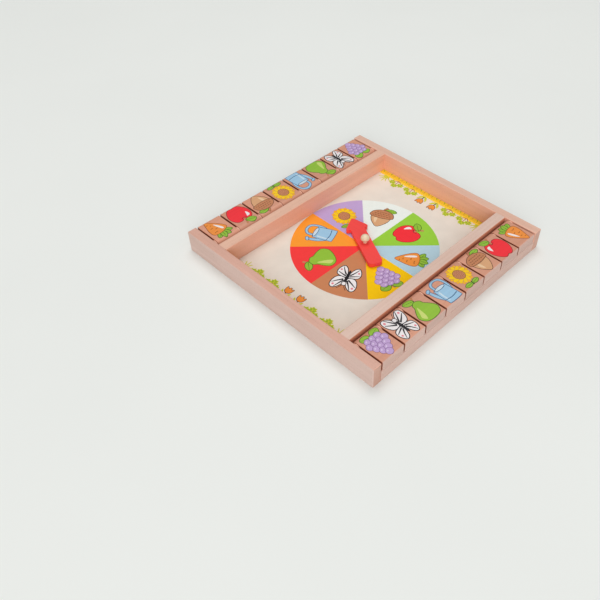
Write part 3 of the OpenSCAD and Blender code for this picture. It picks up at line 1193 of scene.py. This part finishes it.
def film(name, picture, to_surface, make, cuts=()):
    """A print as one mesh; to_surface turns a point in millimetres into a place in the frame."""
    flat, kept = cut_up(picture, cuts)
    used = sorted({corner for corners, _ in kept for corner in corners})
    index = {corner: place for place, corner in enumerate(used)}
    mesh = bpy.data.meshes.new(name)
    mesh.from_pydata(
        [to_surface(*flat[corner]) for corner in used], [],
        [[index[corner] for corner in corners] for corners, _ in kept],
    )
    inks = sorted({picture[top][0] for _, top in kept})
    for ink in inks:
        mesh.materials.append(ink_material(ink, make))
    for polygon, (_, top) in zip(mesh.polygons, kept):
        polygon.material_index = inks.index(picture[top][0])
    mesh.update()
    piece = bpy.data.objects.new(name, mesh)
    bpy.context.scene.collection.objects.link(piece)
    return piece


print("film height:", round(FILM_LIFT / MM, 3), "mm")

# %% [markdown]
# ## The top of a tile
#
# A tile's top is flat between its rounded outer edge and the bullnose round the
# dowel, and a print follows both. A Shrinkwrap modifier could press it down, but
# the tile's form is known: two quarter rounds, so the drop at any place is one
# square root. Cut lines across the print, closer together where the tile curves,
# give the film enough points to bend.

# %% Tile surface
TILE_ROUND = 2.5 * MM
TILE_HALF = 17  # half the length of a cut line, a little more than a tile's half width
FILM_CUTS_V = [1.2, 1.6, 2.0, 2.5, 35.5, 36.5, 37.5, 38.3, 39.0, 39.6]
FILM_CUTS = [((-TILE_HALF, v), (TILE_HALF, v)) for v in FILM_CUTS_V]


def tile_surface(name, row):
    """A function from picture millimetres to the top of a tile: u across, v in from the outer end."""
    low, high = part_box(name)
    nose = (high.z - low.z) / 2
    length = high.y - low.y
    middle = (low.x + high.x) / 2
    side = -1 if row == "near" else 1

    def surface(u, v):
        inward = v * MM
        drop = 0.0
        for radius, into in ((TILE_ROUND, TILE_ROUND - inward), (nose, nose - (length - inward))):
            if into > 0:
                drop = radius - math.sqrt(max(radius**2 - into**2, 0.0))
        outer = high.y if row == "far" else low.y
        return (middle - side * u * MM, outer - side * inward, high.z - drop + FILM_LIFT)

    return surface


print("cut lines on a tile:", len(FILM_CUTS))

# %% [markdown]
# ## Prints on the tiles
#
# Each row faces its own player, so the pictures stand with their tops towards
# the middle and the far row repeats the near one, turned half round. Each print
# rides on its tile, so it flips with it. A single object for a whole row
# couldn't do that.

# %% Tile prints
PICTURE_V = 20.4  # from a tile's outer end to the middle of its picture
PICTURE_SIZE = (30.4, 38.4)
for row, names in TILE_NAMES.items():
    order = PICTURES if row == "near" else PICTURES[::-1]
    for name, draw in zip(names, order):
        picture = moved(fitted(draw(), *PICTURE_SIZE), to=(0, PICTURE_V))
        print_piece = film("print_" + name, picture, tile_surface(name, row), ink_on_wood, FILM_CUTS)
        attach(print_piece, name)
print("tile prints:", sum(len(names) for names in TILE_NAMES.values()))

# %% [markdown]
# ## The wheel
#
# The wheel has eight sectors of flat colour, cut along the tray's own axes and
# its diagonals, with a contrasting picture in each. It just fills the tray from
# partition to partition. A full disc with lines across it would need the
# pictures placed by eye. Here each sector is a slice between two arcs, and the
# same angle turns its picture, so that its top points to the rim.

# %% Wheel
paper_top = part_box("tray_floor_paper")[1]
HALF_L, HALF_W = paper_top.x / MM, paper_top.y / MM
RIM_GAP = 0.2  # bare paper between the wheel and the sheet's edge
WHEEL_R = HALF_W - RIM_GAP
HUB_R = 3.2
PICTURE_R = 61  # from the peg to the middle of a picture
PICTURE_ON_WHEEL = (33, 41)
SECTORS = [
    ("wheel white", acorn), ("wheel purple", sunflower), ("wheel orange", watering_can), ("wheel red", pear),
    ("wheel brown", butterfly), ("wheel yellow", grapes), ("wheel blue", carrot), ("wheel green", apple),
]
SLICE = 360 / len(SECTORS)


def sector(start, end, points=16):
    """A slice of the wheel between two angles in degrees."""
    arc = [math.radians(start + (end - start) * step / points) for step in range(points + 1)]
    rim = [(WHEEL_R * math.cos(a), WHEEL_R * math.sin(a)) for a in arc]
    hub = [(HUB_R * math.cos(a), HUB_R * math.sin(a)) for a in reversed(arc)]
    return rim + hub


def wheel():
    """All the sectors, and then a picture on each."""
    slices = [(ink, sector(SLICE * number, SLICE * (number + 1))) for number, (ink, _) in enumerate(SECTORS)]
    pictures = []
    for number, (_, draw) in enumerate(SECTORS):
        middle = SLICE * number + SLICE / 2
        spot = PICTURE_R * math.cos(math.radians(middle)), PICTURE_R * math.sin(math.radians(middle))
        pictures += moved(fitted(draw(), *PICTURE_ON_WHEEL), turned=middle - 90, to=spot)
    return slices + pictures


print("wheel:", round(2 * WHEEL_R, 1), "mm across,", len(wheel()), "shapes")

# %% [markdown]
# ## Small plants
#
# Tufts of grass, clovers and tulips stand along both ends of the tray floor, a
# few centimetres apart. Each is drawn upright from the origin, where its stem
# meets the wheat, so that it can be placed and turned without sums. A clover's
# leaf is one leaflet, laid down three times.

# %% Plants
BLADES = ((-7, 5), (-4, 8.5), (0, 10.5), (4, 8.5), (7.5, 5.5))
CLOVER_LEAVES = ((-5, 3.8, 34), (5, 3.8, -34), (0, 7.4, 0))  # place and lean
LEAFLET_TURNS = (-108, 108, 0)


def tuft():
    """Five blades of grass that spread from one root."""
    return [("olive", ribbon([(0.25 * x, 0), (0.5 * x, 0.6 * y), (x, y)], 2.0, 0.5)) for x, y in BLADES]


def clover():
    """Three leaves on bent stems, each of three leaflets in two greens."""
    leaflet = smooth([(0, 0), (-2.1, 1.3), (-1.9, 3.4), (0, 2.8), (1.9, 3.4), (2.1, 1.3)], 4)
    two_greens = [("olive", leaflet)] + moved([("leaf", leaflet)], scale=0.62, to=(0, 0.6))
    picture = []
    for x, y, lean in CLOVER_LEAVES:
        picture.append(("twig", ribbon([(0.1 * x, -1), (0.6 * x, 0.3 * y), (x, y)], 0.9, 0.7)))
        for spread in LEAFLET_TURNS:
            picture += moved(two_greens, turned=lean + spread, to=(x, y))
    return picture


def tulip():
    """A cup on a stem between two long leaves."""
    cup = smooth([
        (-3.4, 12.4), (-1.7, 10.8), (0, 12.8), (1.7, 10.8), (3.4, 12.4), (3, 7.6), (0, 5.6), (-3, 7.6),
    ], 4)
    picture = [("dark green", ribbon([(0, 0), (0.3, 6)], 1.1))]
    for x in (-5, 5):
        picture.append(("olive", smooth([(0, 0), (0.8 * x, 2.6), (x, 7.5), (0.3 * x, 3.6)], 4)))
    return picture + inked("orange", "dark brown", cup, 0.5)


print("shapes in a tuft, a clover and a tulip:", [len(draw()) for draw in (tuft, clover, tulip)])

# %% [markdown]
# ## The edge of the field
#
# Along both ends of the tray floor runs a strip of ripe wheat, and the plants
# grow from it towards the wheel. Hundreds of ears could be scattered at random.
# A plain row with a green blade or a brown stalk at every second ear is tidier,
# and it gives the same print on every run.

# %% Field edge
STRIP = 8.4  # how wide the wheat is, from the end rail inwards
EAR_STEP = 3.3
WHEAT_MARGIN = 2  # kept free of ears at either end of the strip
PLANT_SCALE = 1.35
PLANTS = [
    (-77, tuft), (-57, clover), (-32, clover), (-10, tulip),
    (10, tulip), (32, clover), (57, clover), (77, tuft),
]


def wheat(ears):
    """Ears of wheat on a strip along +X, its wall at y 0, with a green blade here and there."""
    picture = []
    for ear in range(ears):
        x = (ear - (ears - 1) / 2) * EAR_STEP
        picture.append(("ear", oval(x, 4.4, 0.55, 1.9, -20, 8)))
        picture.append(("straw", oval(x + EAR_STEP / 2, STRIP, 1.3, 1.2, 0, 10)))
        if ear % 4 == 1:
            picture.append(("leaf", ribbon([(x + 1.6, 0.3), (x + 0.9, 2), (x - 0.6, 3.6)], 1.5, 0.4)))
        if ear % 4 == 3:
            picture.append(("twig", ribbon([(x + 1.2, 0.4), (x + 1.8, 2.6), (x + 1.4, 4.4)], 0.7, 0.4)))
    return picture


def field_edge():
    """The strip of wheat along the end at +X, with its plants."""
    strip_x = HALF_L - STRIP
    picture = [("straw", [(strip_x, -HALF_W), (HALF_L, -HALF_W), (HALF_L, HALF_W), (strip_x, HALF_W)])]
    ears = int(2 * (HALF_W - WHEAT_MARGIN) / EAR_STEP)
    picture += moved(wheat(ears), turned=90, to=(HALF_L, 0))
    for y, draw in PLANTS:
        picture += moved(draw(), scale=PLANT_SCALE, turned=90, to=(strip_x, y))
    return picture


print("field edge:", len(field_edge()), "shapes")

# %% [markdown]
# ## The printed tray floor
#
# The real tray floor is one printed sheet. So the two field edges, the second
# turned half round, and the wheel over them become one picture and one film. It
# belongs to the frame, because the paper is glued down.

# %% Floor print


def floor_surface(x, y):
    """The place on the paper for a point in millimetres from its middle."""
    return (x * MM, y * MM, paper_top.z + FILM_LIFT)


floor_picture = field_edge() + moved(field_edge(), turned=180) + wheel()
floor_print = film("print_tray_floor", floor_picture, floor_surface, ink_on_paper)
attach(floor_print, "frame")
print("floor print:", len(floor_print.data.polygons), "triangles")

# %% [markdown]
# ## The floor
#
# The game stands on a plain pale floor, large enough that its edge is never seen
# up close. A backdrop that curves up behind would suit one camera only, and this
# game is looked at from all sides. A trace of mottle keeps it from looking like
# a hole in the picture.

# %% Floor
FLOOR_TINT = colour(239, 242, 239)
FLOOR_SHADE = shaded(FLOOR_TINT, factor=0.985)
FLOOR_HALF = 4.0


def flat_square(name, half):
    """A level square about the origin."""
    mesh = bpy.data.meshes.new(name)
    corners = [(-half, -half, 0), (half, -half, 0), (half, half, 0), (-half, half, 0)]
    mesh.from_pydata(corners, [], [(0, 1, 2, 3)])
    made = bpy.data.objects.new(name, mesh)
    bpy.context.scene.collection.objects.link(made)
    return made


floor = flat_square("floor", FLOOR_HALF)
floor_paint, tree, shader = new_material("floor", Roughness=0.8)
tree.links.new(mottled(tree, FLOOR_TINT, FLOOR_SHADE, size_mm=300), shader.inputs["Base Color"])
floor.data.materials.append(floor_paint)
print("floor:", 2 * FLOOR_HALF, "m square")

# %% [markdown]
# ## The lamps
#
# A large lamp overhead gives each piece a short, soft shadow all round it, a
# trace longer towards the camera. A second one on the camera's side keeps the
# upright faces as bright as the level ones. Small or near lamps would throw
# hard shadows and light the floor unevenly, so both are large and stand far off.

# %% Lamps


def area_lamp(name, spot, size, power, tint=(1, 1, 1)):
    """A soft lamp that points at the game."""
    lamp = bpy.data.lights.new(name, "AREA")
    lamp.size = size
    lamp.energy = power
    lamp.color = tint
    made = bpy.data.objects.new(name, lamp)
    made.location = spot
    made.rotation_euler = Vector(spot).to_track_quat("Z", "Y").to_euler()
    made.visible_camera = False
    bpy.context.scene.collection.objects.link(made)
    return made


area_lamp("overhead", spot=(0.8, 0.8, 4.2), size=2.6, power=74, tint=(1.0, 0.99, 0.97))
area_lamp("camera side", spot=(-3.4, -3.1, 2.45), size=4.2, power=155, tint=(1.0, 0.995, 0.985))
print("lamps:", [lamp.name for lamp in bpy.data.lights])

# %% [markdown]
# ## Light from all round
#
# The rest of the light comes from the world, a white studio without walls. How
# bright it looks and how much it lights the game are two different things: the
# Light Path node tells rays from the camera from all others, so that past the
# floor the backdrop is as pale as the floor itself, without too much light.

# %% World
WORLD_LIGHT = 0.37
WORLD_SEEN = 0.8
world = bpy.data.worlds.new("studio")
world.use_nodes = True
backdrop = world.node_tree.nodes["Background"]
backdrop.inputs["Color"].default_value = (1, 1, 1, 1)
seen = add(world.node_tree, "LightPath").outputs["Is Camera Ray"]
strength = remap(world.node_tree, seen, 0, 1, WORLD_LIGHT, WORLD_SEEN)
world.node_tree.links.new(strength, backdrop.inputs["Strength"])
bpy.context.scene.world = world
bpy.context.scene.view_settings.view_transform = "Standard"
print("world light:", WORLD_LIGHT, "and as seen:", WORLD_SEEN)
